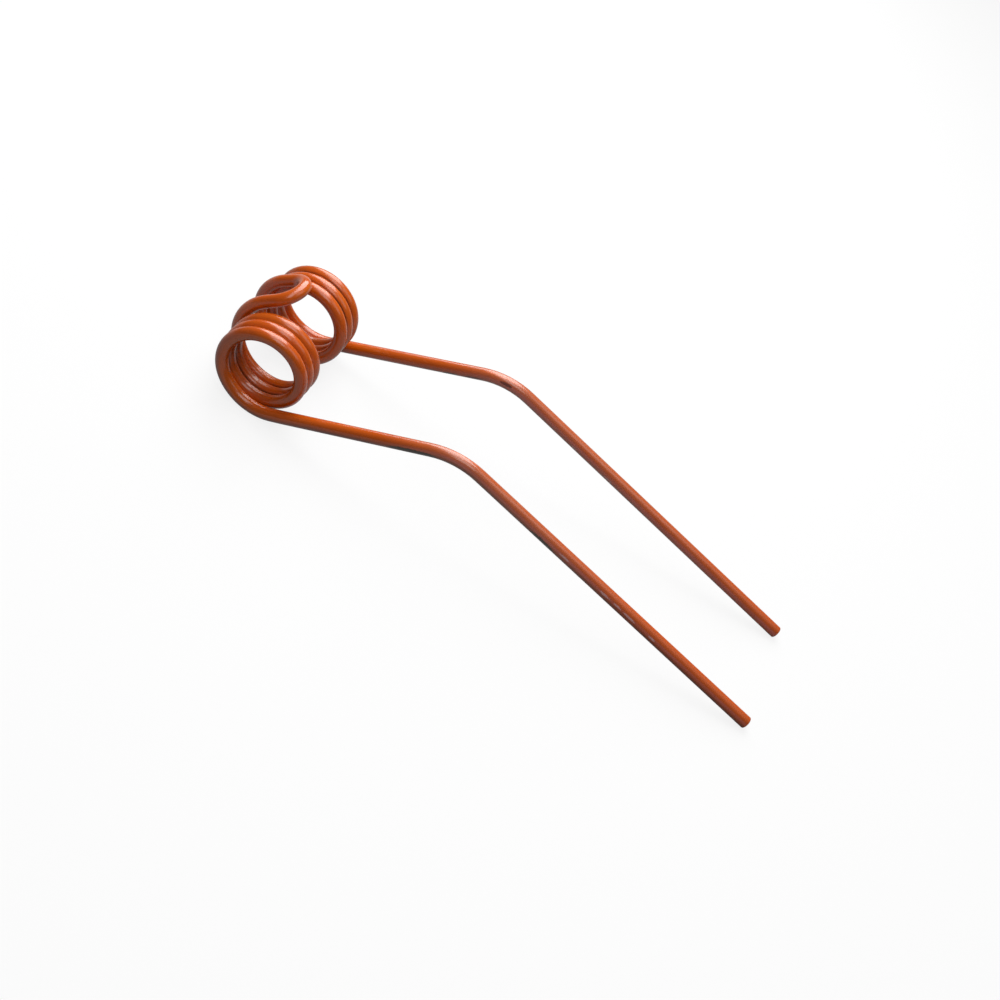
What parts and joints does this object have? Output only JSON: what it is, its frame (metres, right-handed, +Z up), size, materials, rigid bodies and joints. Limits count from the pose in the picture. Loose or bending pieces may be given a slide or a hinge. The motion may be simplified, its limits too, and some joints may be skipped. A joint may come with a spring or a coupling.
{
  "type": "tedder spring tine",
  "caption": "Double spring tine bent from one round steel wire: a central clamp loop, a close-wound coil on each side and two long legs bent down at a knee, painted orange.",
  "frame": {"origin": "bottom centre of the box of the tine as it lies at rest, in the middle plane between the two legs", "axes": "+X runs level from the coils to the cut ends of the legs, Y is along the axis of the coils with the near leg at negative Y, +Z up"},
  "size_m": [0.432, 0.1024, 0.0792],
  "materials": {
    "orange_paint": "glossy orange paint over spring steel, with small scuffs"
  },
  "bodies": {
    "root": {"tine": "orange_paint"}
  },
  "joints": []
}
